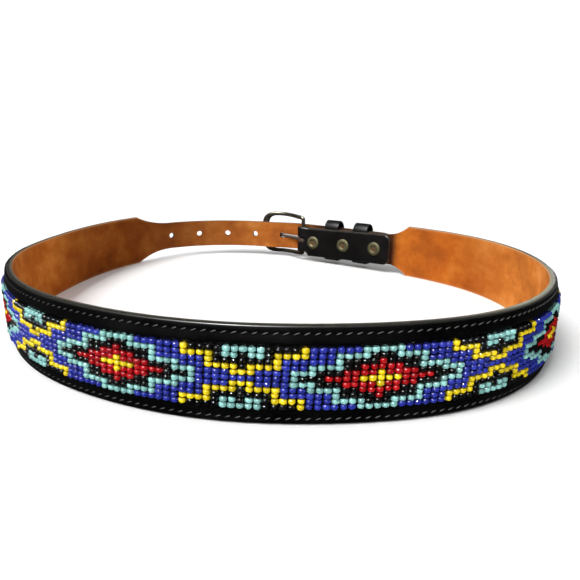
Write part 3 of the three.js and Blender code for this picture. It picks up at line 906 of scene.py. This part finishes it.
# One colour of beads: a small glass ring on each point whose colour number fits
def makeBeadTree():
    tree, given, result = newTree("seedBeads", (
        "Bead Radius", "Bead Length", "Bead Wall", "Uneven Size", "Uneven Tilt", "Uneven Place",
    ), Colour="Int", Seed="Int", Glass="Material")
    link, wire = tree.links.new, wiring(tree)
    value = given.outputs
    ring = addNode(tree, "GeometryNodeCurvePrimitiveCircle", Resolution=band["around"])
    halfWall = mathNode(tree, "MULTIPLY", value["Bead Wall"], 0.5)
    link(mathNode(tree, "SUBTRACT", value["Bead Radius"], halfWall), ring.inputs["Radius"])
    profile = addNode(tree, "GeometryNodeCurvePrimitiveCircle", Resolution=band["across"], Radius=1.0)
    turned = addNode(tree, "GeometryNodeTransform", Rotation=(0, 0, math.radians(30)))
    shaped = tree.nodes.new("GeometryNodeTransform")
    chain(tree, profile, turned, shaped)
    link(vectorOf(tree, mathNode(tree, "MULTIPLY", value["Bead Wall"], 0.577),
                  mathNode(tree, "MULTIPLY", value["Bead Length"], 0.5), 1), shaped.inputs["Scale"])
    bead = tree.nodes.new("GeometryNodeCurveToMesh")
    wire(ring, "Curve", bead, "Curve")
    wire(shaped, 0, bead, "Profile Curve")
    rounded = tree.nodes.new("GeometryNodeSetShadeSmooth")
    wire(bead, 0, rounded, "Geometry")

    picked = tree.nodes.new("FunctionNodeCompare")
    picked.data_type = "INT"
    picked.operation = "EQUAL"
    colour = addNode(tree, "GeometryNodeInputNamedAttribute", Name="colour")
    colour.data_type = "INT"
    wire(colour, "Attribute", picked, 2)
    link(value["Colour"], picked.inputs[3])
    turn = addNode(tree, "GeometryNodeInputNamedAttribute", Name="turn")
    turn.data_type = "FLOAT"

    moved = tree.nodes.new("GeometryNodeSetPosition")
    wire(given, "Geometry", moved, "Geometry")
    link(randomAbout(tree, 0, value["Uneven Place"], value["Seed"], 1), moved.inputs["Offset"])
    tilt = randomAbout(tree, 0, value["Uneven Tilt"], value["Seed"], 2)
    facing = tree.nodes.new("ShaderNodeVectorMath")
    link(tilt, facing.inputs[0])
    link(vectorOf(tree, 0, 0, turn.outputs["Attribute"]), facing.inputs[1])
    spin = tree.nodes.new("FunctionNodeEulerToRotation")
    wire(facing, 0, spin, 0)
    size = randomAbout(tree, 1, value["Uneven Size"], value["Seed"], 3)
    strung = tree.nodes.new("GeometryNodeInstanceOnPoints")
    wire(moved, 0, strung, "Points")
    wire(picked, 0, strung, "Selection")
    wire(rounded, 0, strung, "Instance")
    wire(spin, 0, strung, "Rotation")
    link(size, strung.inputs["Scale"])
    toned = addNode(tree, "GeometryNodeStoreNamedAttribute", Name="tone")
    toned.data_type = "FLOAT"
    toned.domain = "INSTANCE"
    chance = tree.nodes.new("FunctionNodeRandomValue")
    chance.data_type = "FLOAT"
    link(mathNode(tree, "ADD", value["Seed"], 4), chance.inputs["Seed"])
    wire(strung, 0, toned, "Geometry")
    wire(chance, 1, toned, "Value")
    return endTree(tree, toned, value["Glass"], result)


# The bead chart: half a diamond and half the link beside it, from the diamond's middle. The lower
# rows mirror the upper ones, and the pattern mirrors at both ends of a chart row.
beadChart = [
    "TTTBBBBBBYKKKKTTT",
    "KKTTTTBBBYYYYKTTK",
    "RKKKKTBBBBBBYKKKK",
    "RRRKKTTTTBBBYYYYK",
    "YRRRRKKKTTTBBBBYY",
    "YYYRRRRKKKTBBBBBB",
]
band = {
    "columnPitch": 3.092, "rowPitch": 2.16, "rows": 11, "radius": 1.40, "length": 2.04, "wall": 0.96,
    "lift": 0.05, "diamondAt": 382.7, "middle": 18.85, "lean": 0.0715, "windowGap": 0.35,
    "size": 0.10, "tilt": 0.10, "place": 0.13, "seed": 7, "around": 10, "across": 6,
}
beadOut = thickness + band["lift"] + band["radius"]


def chartLetter(column, row):
    repeat = 2 * (len(beadChart[0]) - 1)
    c = abs(column) % repeat
    c = min(c, repeat - c)
    return beadChart[min(row, band["rows"] - 1 - row)][c]


# The value beside a number in two lists that rise together
def readOff(numbers, values, number):
    k = min(max(bisect_right(numbers, number) - 1, 0), len(numbers) - 2)
    return values[k] + (values[k + 1] - values[k]) * (number - numbers[k]) / (numbers[k + 1] - numbers[k])


# Columns are spaced on the line through the beads' middles, so it is measured on its own
def beadColumns():
    start = bodyStart + overlay["endGap"] + overlay["endBorder"] + band["windowGap"]
    end = bodyEnd - overlay["endGap"] - overlay["endBorder"] - band["windowGap"]
    stops = spread(start, end, 0.5)
    run = runLengths([flatPlace(along, beadOut) for along in stops])
    middle = readOff(stops, run, band["diamondAt"])
    half = band["columnPitch"] / 2
    first = -math.floor((run[-1] - middle - half) / band["columnPitch"])
    last = math.floor((middle - half) / band["columnPitch"])
    return [(c, readOff(run, stops, middle - c * band["columnPitch"])) for c in range(first, last + 1)]


columns = beadColumns()


def rowHeight(row):
    return band["middle"] + ((band["rows"] - 1) / 2 - row) * band["rowPitch"]


def beadPoints(name):
    letters = list(beadColours)
    points, colours, facing = [], [], []
    for column, along in columns:
        outward = outwardAt(along)
        angle = math.atan2(outward.y, outward.x)
        for row in range(band["rows"]):
            slide = band["lean"] * (rowHeight(row) - band["middle"])
            points.append(place(along - slide, beadOut, rowHeight(row)))
            colours.append(letters.index(chartLetter(column, row)))
            facing.append(angle)
    mesh = newMesh(name, points)
    storeValues(mesh, "colour", colours, "INT")
    storeValues(mesh, "turn", facing)
    return addObject(name, mesh)


def makeBeads():
    tree = makeBeadTree()
    pieces = []
    for number, (word, colour) in enumerate(beadColours.values()):
        piece = growWith(beadPoints(word + "_beads"), tree, {
            "Colour": number, "Bead Radius": band["radius"] * mm, "Bead Length": band["length"] * mm,
            "Bead Wall": band["wall"] * mm, "Uneven Size": band["size"],
            "Uneven Tilt": band["tilt"], "Uneven Place": band["place"] * mm,
            "Seed": band["seed"], "Glass": makeBeadGlass(word, colour),
        })
        pieces.append(piece)
        print(word, "beads:", len(piece.data.polygons) // (band["around"] * band["across"]))
    return pieces


# Threads that follow lines: a thin round skin along each line
def makeThreadTree():
    tree, given, result = newTree("warpThreads", ["Thread Radius"], Thread="Material")
    wire = wiring(tree)
    curve = tree.nodes.new("GeometryNodeMeshToCurve")
    profile = addNode(tree, "GeometryNodeCurvePrimitiveCircle", Resolution=6)
    skin = addNode(tree, "GeometryNodeCurveToMesh", Fill_Caps=True)
    wire(given, "Geometry", curve, 0)
    wire(given, "Thread Radius", profile, "Radius")
    wire(curve, 0, skin, "Curve")
    wire(profile, "Curve", skin, "Profile Curve")
    return endTree(tree, skin, given.outputs["Thread"], result)


def linesPiece(name, lines):
    vertices, edges = [], []
    for line in lines:
        first = len(vertices)
        vertices += line
        edges += [(k, k + 1) for k in range(first, len(vertices) - 1)]
    return addObject(name, newMesh(name, vertices, edges))


warpLines = {"out": 0.25, "radius": 0.16, "step": 3}


def makeWarp():
    low = min(along for column, along in columns) - band["columnPitch"] / 2
    high = max(along for column, along in columns) + band["columnPitch"] / 2
    lines = []
    for row in range(band["rows"] + 1):
        height = rowHeight(row) + band["rowPitch"] / 2
        lines.append([place(along, beadOut + warpLines["out"], height)
                      for along in spread(low, high, warpLines["step"])])
    return growWith(linesPiece("warp_threads", lines), makeThreadTree(),
                    {"Thread Radius": warpLines["radius"] * mm, "Thread": warpThread})


# Stitches: one slanting bump of thread at every pitch along a line
def makeStitchTree():
    tree, given, result = newTree("sewnLine", (
        "Pitch", "Stitch Length", "Thread Width", "Slant", "Turn Height",
    ), Seed="Int", Thread="Material")
    link, wire = tree.links.new, wiring(tree)
    curve = tree.nodes.new("GeometryNodeMeshToCurve")
    points = tree.nodes.new("GeometryNodeResampleCurve")
    points.mode = "LENGTH"
    wire(given, "Pitch", points, "Length")
    stitch = addNode(tree, "GeometryNodeMeshUVSphere", Segments=6, Rings=5, Radius=0.5)
    smooth = tree.nodes.new("GeometryNodeSetShadeSmooth")
    laid = addNode(tree, "GeometryNodeTransform", Rotation=(0, math.radians(90), 0))
    sized = tree.nodes.new("GeometryNodeTransform")
    chain(tree, stitch, smooth, laid, sized)
    link(vectorOf(tree, given.outputs["Stitch Length"], given.outputs["Thread Width"],
                  given.outputs["Thread Width"]), sized.inputs["Scale"])
    spot = tree.nodes.new("GeometryNodeInputPosition")
    heights = tree.nodes.new("ShaderNodeSeparateXYZ")
    wire(spot, 0, heights, 0)
    below = mathNode(tree, "LESS_THAN", heights.outputs["Z"], given.outputs["Turn Height"])
    side = mathNode(tree, "SUBTRACT", mathNode(tree, "MULTIPLY", below, 2), 1)
    lean = mathNode(tree, "MULTIPLY", side, given.outputs["Slant"])
    tangent = tree.nodes.new("GeometryNodeInputTangent")
    alongX = tree.nodes.new("FunctionNodeAlignRotationToVector")
    alongX.axis = "X"
    wire(tangent, 0, alongX, "Vector")
    upright = tree.nodes.new("FunctionNodeAlignRotationToVector")
    upright.axis = "Z"
    upright.pivot_axis = "X"
    upright.inputs["Vector"].default_value = (0, 0, 1)
    slanted = tree.nodes.new("FunctionNodeRotateRotation")
    slanted.rotation_space = "LOCAL"
    chain(tree, alongX, upright, slanted)
    link(vectorOf(tree, 0, lean, 0), slanted.inputs["Rotate By"])
    sewn = tree.nodes.new("GeometryNodeInstanceOnPoints")
    chain(tree, given, curve, points, sewn)
    wire(sized, 0, sewn, "Instance")
    wire(slanted, 0, sewn, "Rotation")
    link(randomVector(tree, vectorOf(tree, 0.9, 0.85, 0.85), vectorOf(tree, 1.05, 1.15, 1.15),
                      given.outputs["Seed"], 1), sewn.inputs["Scale"])
    return endTree(tree, sewn, given.outputs["Thread"], result)


stitches = {
    "pitch": 3.65, "length": 2.5, "width": 0.66, "slant": 0.36, "inset": 1.9, "rise": 0.68, "seed": 3,
}


def makeStitches():
    left, right, low, high = overlayBox
    inset = stitches["inset"]
    line = roundedOutline(left + inset, right - inset, low + inset, high - inset,
                          overlay["round"] - inset, round((right - left) / 2))
    line.append(line[0])
    out = thickness + overlay["seam"] + stitches["rise"]
    sewnLine = linesPiece("overlay_stitches", [[place(u, out, z) for u, z in line]])
    return growWith(sewnLine, makeStitchTree(), {
        "Pitch": stitches["pitch"] * mm, "Stitch Length": stitches["length"] * mm,
        "Thread Width": stitches["width"] * mm, "Slant": stitches["slant"],
        "Turn Height": middleHeight * mm, "Seed": stitches["seed"], "Thread": stitchThread,
    })


beads = makeBeads()
warp = makeWarp()
sewing = makeStitches()
print("beads, threads and stitches made")


def quadratic(a, b, c, count):
    points = []
    for k in range(1, count + 1):
        t = k / count
        points.append(tuple((1 - t) ** 2 * p + 2 * t * (1 - t) * q + t ** 2 * r
                            for p, q, r in zip(a, b, c)))
    return points


# The frame's outer edge or its window: up the heel, along the arched rail, down the far bar
def buckleOutline(heelAt, far, half, heelCorner, corner):
    peak = half + buckle["arch"]
    bend = (heelAt, half - heelCorner), (heelAt, half), (heelAt + heelCorner, half)
    upper = [(heelAt, (half - heelCorner) * k / 6) for k in range(7)]
    upper += quadratic(*bend, 8)
    upper += quadratic(bend[2], (buckle["length"] / 2, peak), (far - corner, peak), 20)
    upper += quadratic((far - corner, peak), (far, peak), (far, peak - corner), 14)
    upper += [(far, (peak - corner) * (1 - k / 3)) for k in range(1, 4)]
    return upper + [(x, -y) for x, y in reversed(upper[1:-1])]


def makeBuckleFrame():
    half = buckle["opening"] / 2
    outer = buckleOutline(-buckle["bar"], frameEnd, half + buckle["rail"], buckle["heelCorner"],
                          buckle["corner"])
    window = buckleOutline(buckle["bar"], windowEnd, half, buckle["windowHeelCorner"],
                           buckle["windowCorner"])
    middle = middleHeight + buckle["rise"]
    rings = []
    for (ox, oy), (wx, wy) in zip(outer, window):
        cx, cy = (ox + wx) / 2, (oy + wy) / 2
        bar = 1 - smoothStep(cx, 0, 2 * buckle["heelCorner"])
        halfThick = blend(buckle["thick"] / 2, buckle["bar"], bar)
        power = blend(3.6, 2.0, bar)
        ring = []
        for angle in circleAngles(20):
            square, c, s = squareAt(angle, power)
            x, y = cx + (ox - cx) * square * c, cy + (oy - cy) * square * c
            ring.append(onBuckle(x, domeAt(x) + halfThick * square * s, middle + y))
        rings.append(ring)
    return ringSkin("frame_of_buckle", rings, buckleMetal, joined=True, sharpAngle=60)


def makeProng():
    shares = [(0.02, 1), (0.05, 1), (0.3, 1), (0.6, 1), (0.9, 1), (0.95, 0.96), (0.975, 0.86),
              (0.992, 0.62), (1, 0.3)]
    shank = ringSkin("prong_shank", prongRings(0, 16, shares), prongMetal, sharpAngle=60)
    rings = []
    half = prong["width"] / 2
    for angle in circleAngles(40):
        ring = []
        for radius, side in ((eyeInner, -half), (eyeInner, half), (eyeOuter - 0.35, half),
                             (eyeOuter, half - 0.4), (eyeOuter, 0.4 - half), (eyeOuter - 0.35, -half)):
            ring.append(onBuckle(radius * math.cos(angle), radius * math.sin(angle),
                                 middleHeight - prong["slant"] + side))
        rings.append(ring)
    eye = ringSkin("prong_eye", rings, prongMetal, joined=True)
    joinWith(shank, [eye], "UNION", 50)
    shank.name = "prong_of_buckle"
    return shank


keepers = {"width": 12.7, "thick": 1.6, "play": 0.4, "first": 27, "pitch": 26.5, "top": 36, "foot": 0.9,
           "topRound": 4, "footRound": 1.4}


def keeperOutline(along):
    half = keepers["thick"] / 2
    inner = -(keepers["play"] + half)
    outer = 2 * thickness + strap["billetGap"] + keepers["play"] + half
    foot = strapEdges(along)[0] - keepers["foot"] - half
    top = keepers["top"] - half
    tr, fr = keepers["topRound"] + half, keepers["footRound"] + half
    line = [(inner, blend(foot + fr, top - tr, k / 10)) for k in range(11)]
    line += quadratic((inner, top - tr), (inner + 0.2 * tr, top - 0.2 * tr), (inner + tr, top), 10)
    line += [(blend(inner + tr, outer - tr, k / 3), top) for k in range(1, 4)]
    line += quadratic((outer - tr, top), (outer - 0.2 * tr, top - 0.2 * tr), (outer, top - tr), 10)
    line += [(outer, blend(top - tr, foot + fr, k / 10)) for k in range(1, 11)]
    line += quadratic((outer, foot + fr), (outer, foot), (outer - fr, foot), 6)
    line += [(blend(outer - fr, inner + fr, k / 4), foot) for k in range(1, 5)]
    line += quadratic((inner + fr, foot), (inner, foot), (inner, foot + fr), 6)[:-1]
    return line


def makeKeeper(name, along):
    line = keeperOutline(along)
    half, thick = keepers["width"] / 2, keepers["thick"] / 2
    section = [(-half, 0), (-half, 0.55), (-half + 0.25, 0.9), (-half + 0.8, 1), (0, 1.06),
               (half - 0.8, 1), (half - 0.25, 0.9), (half, 0.55), (half, 0), (half, -0.9),
               (half - 0.2, -1), (-half + 0.2, -1), (-half, -0.9)]
    rings = []
    for k, (x, y) in enumerate(line):
        run = runBetween(line[k - 1], line[(k + 1) % len(line)])
        rings.append([place(along + u, x - run.y * side * thick, y + run.x * side * thick)
                      for u, side in section])
    return ringSkin(name, rings, blackLeather, joined=True)


def latheAt(name, profile, along, height, material, sides=40):
    axis = outwardAt(along).to_3d()
    spokes = spokesAt(along, sides)
    base = place(along, 0, height)
    vertices = [base + axis * profile[0][1] * mm]
    for radius, out in profile[1:-1]:
        vertices += [base + axis * out * mm + spoke * radius * mm for spoke in spokes]
    vertices.append(base + axis * profile[-1][1] * mm)
    faces = [(0, 1 + k, 1 + (k + 1) % sides) for k in range(sides)]
    for row in range(len(profile) - 3):
        first = 1 + row * sides
        for k in range(sides):
            m = (k + 1) % sides
            faces.append((first + k, first + sides + k, first + sides + m, first + m))
    last = 1 + (len(profile) - 3) * sides
    faces += [(last + (k + 1) % sides, last + k, len(vertices) - 1) for k in range(sides)]
    piece = newPiece(name, vertices, faces, material, 40)
    turnOutward(piece)
    return piece


snaps = {"radius": 5.5, "height": 1.1, "dimple": 2.2, "socket": 4.4, "bore": 2.3, "floor": 0.5}


def makeSnapCap(name, along):
    face = -(strap["foldGap"] + thickness) - 0.05
    low = -strap["foldGap"] + snapRoom
    high = -snapRoom
    r, top = snaps["radius"], face - snapRoom - snaps["height"]
    profile = [
        (0, low + snaps["floor"]), (snaps["bore"], low + snaps["floor"]), (snaps["bore"], high - 0.2),
        (snaps["bore"] + 0.2, high), (snaps["socket"] - 0.2, high), (snaps["socket"], high - 0.2),
        (snaps["socket"], low), (snapNeck, low), (snapNeck, face), (r - 0.3, face), (r, face - 0.12),
        (r, face - 0.42), (r - 0.18, face - 0.72), (r - 0.55, top + 0.36), (r - 1.1, top + 0.12),
        (r - 1.7, top + 0.02), (r - 2.3, top), (r - 2.75, top + 0.08), (snaps["dimple"] + 0.25, top + 0.28),
        (snaps["dimple"], top + 0.55), (snaps["dimple"] - 0.3, top + 0.62),
        (snaps["dimple"] - 0.9, top + 0.6), (0.6, top + 0.55), (0, top + 0.54),
    ]
    cap = latheAt(name, profile, along, strapMiddle(along), snapBrass)
    centre = place(along, 0, strapMiddle(along))
    outward = outwardAt(along).to_3d()
    spots = [vertex.co - centre for vertex in cap.data.vertices]
    reaches = [(spot - outward * spot.dot(outward)).length / mm for spot in spots]
    storeValues(cap.data, "dimple", [1 - smoothStep(r, snaps["dimple"] - 0.4, snaps["dimple"] + 0.6)
                                     for r in reaches])
    return cap


frameOfBuckle = makeBuckleFrame()
prongPiece = makeProng()
keeperPieces = [makeKeeper("leather_keeper_" + str(k + 1), keepers["first"] + k * keepers["pitch"])
                for k in range(2)]
snapPieces = [makeSnapCap("brass_snap_" + str(k + 1), along) for k, along in enumerate(snapMiddles)]
print("buckle, keepers and snaps made")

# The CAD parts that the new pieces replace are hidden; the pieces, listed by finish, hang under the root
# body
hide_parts("lining")
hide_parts("outer_strap")
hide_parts("bead_frame")
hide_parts("bead_band")
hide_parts("buckle_frame")
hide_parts("prong")
for k in range(2):
    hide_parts("keeper_" + str(k + 1))
for k in range(3):
    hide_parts("snap_cap_" + str(k + 1))
slots = {
    "tan_leather": [lining],
    "black_leather": [outerStrap, overlayPiece, warp, sewing] + keeperPieces,
    "glass_beads": beads,
    "buckle_metal": [frameOfBuckle, prongPiece],
    "snap_brass": snapPieces,
}
for slotName, pieces in slots.items():
    for piece in pieces:
        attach(piece, "root")
for name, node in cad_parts.items():
    if name.startswith("snap_post"):
        node.data.materials.clear()
        node.data.materials.append(snapBrass)


# Floor and light. Only the lamps and a dim room show in the gloss, so that black leather stays black.
studio = {
    "floor": (0.95, 0.95, 0.95), "reach": 4, "room": 0.50, "roomInGloss": 0.05, "backdrop": 1.1,
    "key": {"towards": (-0.48, -0.39, 0.79), "strength": 2.8, "angle": 30},
    "spark": {"towards": (-0.30, -0.58, 0.76), "strength": 13.0, "angle": 4},
    "rim": {"at": (0.66, 1.10, 0.36), "size": 0.5, "watts": 1.1},
}


def makeFloor():
    material, _, shader = newMaterial("paleFloor")
    setInputs(shader, {"Base Color": (*studio["floor"], 1), "Roughness": 0.9})
    far = studio["reach"]
    floor = newPiece("floor", [(-far, -far, 0), (far, -far, 0), (far, far, 0), (-far, far, 0)],
                     [(0, 1, 2, 3)], material)
    floor.visible_glossy = False


def makeLights():
    world = bpy.data.worlds.new("paleRoom")
    world.use_nodes = True
    tree = world.node_tree
    background = tree.nodes["Background"]
    background.inputs["Color"].default_value = (1, 1, 1, 1)
    ray = tree.nodes.new("ShaderNodeLightPath")
    dimmed = multiplyAdd(tree, studio["roomInGloss"] - studio["room"])
    dimmed.inputs[2].default_value = studio["room"]
    shown = multiplyAdd(tree, studio["backdrop"] - studio["room"])
    wire = wiring(tree)
    wire(ray, "Is Glossy Ray", dimmed, 0)
    wire(ray, "Is Camera Ray", shown, 0)
    wire(dimmed, 0, shown, 2)
    wire(shown, 0, background, "Strength")
    scene.world = world
    for name in ("key", "spark"):
        light = bpy.data.lights.new(name, "SUN")
        light.energy = studio[name]["strength"]
        light.angle = math.radians(studio[name]["angle"])
        addLamp(name, light, -Vector(studio[name]["towards"]))
    light = bpy.data.lights.new("rim", "AREA")
    light.energy, light.size = studio["rim"]["watts"], studio["rim"]["size"]
    at = Vector(studio["rim"]["at"])
    addLamp("rim", light, Vector((0, 0, 0.02)) - at).location = at


# The spark and the rim light only make glints on glass, metal and edges
def addLamp(name, light, direction):
    lamp = addObject(name, light)
    lamp.rotation_euler = direction.to_track_quat("-Z", "Y").to_euler()
    lamp.visible_diffuse = name == "key"
    return lamp


# The photograph's camera: in front, a little above, looking down at the loop
view = {"at": (31.88, -294.18, 99.0), "down": 0.2731, "roll": 0.0095, "focal": 530.6, "frame": 580}


def makeCamera():
    camera = bpy.data.cameras.new("camera")
    camera.sensor_width = 36
    camera.lens = view["focal"] / view["frame"] * camera.sensor_width
    holder = addObject("camera", camera)
    forward = Vector((0, math.cos(view["down"]), -math.sin(view["down"])))
    up = Vector((0, math.sin(view["down"]), math.cos(view["down"])))
    right = Vector((1, 0, 0))
    c, s = math.cos(view["roll"]), math.sin(view["roll"])
    tiltedRight, tiltedUp = c * right + s * up, c * up - s * right
    matrix = Matrix((tiltedRight, tiltedUp, -forward)).transposed().to_4x4()
    x, y, z = view["at"]
    matrix.translation = Vector(((x + shift.x) * mm, (y + shift.y) * mm, z * mm))
    holder.matrix_world = matrix
    camera.clip_start = 0.01
    scene.camera = holder


makeFloor()
makeLights()
makeCamera()
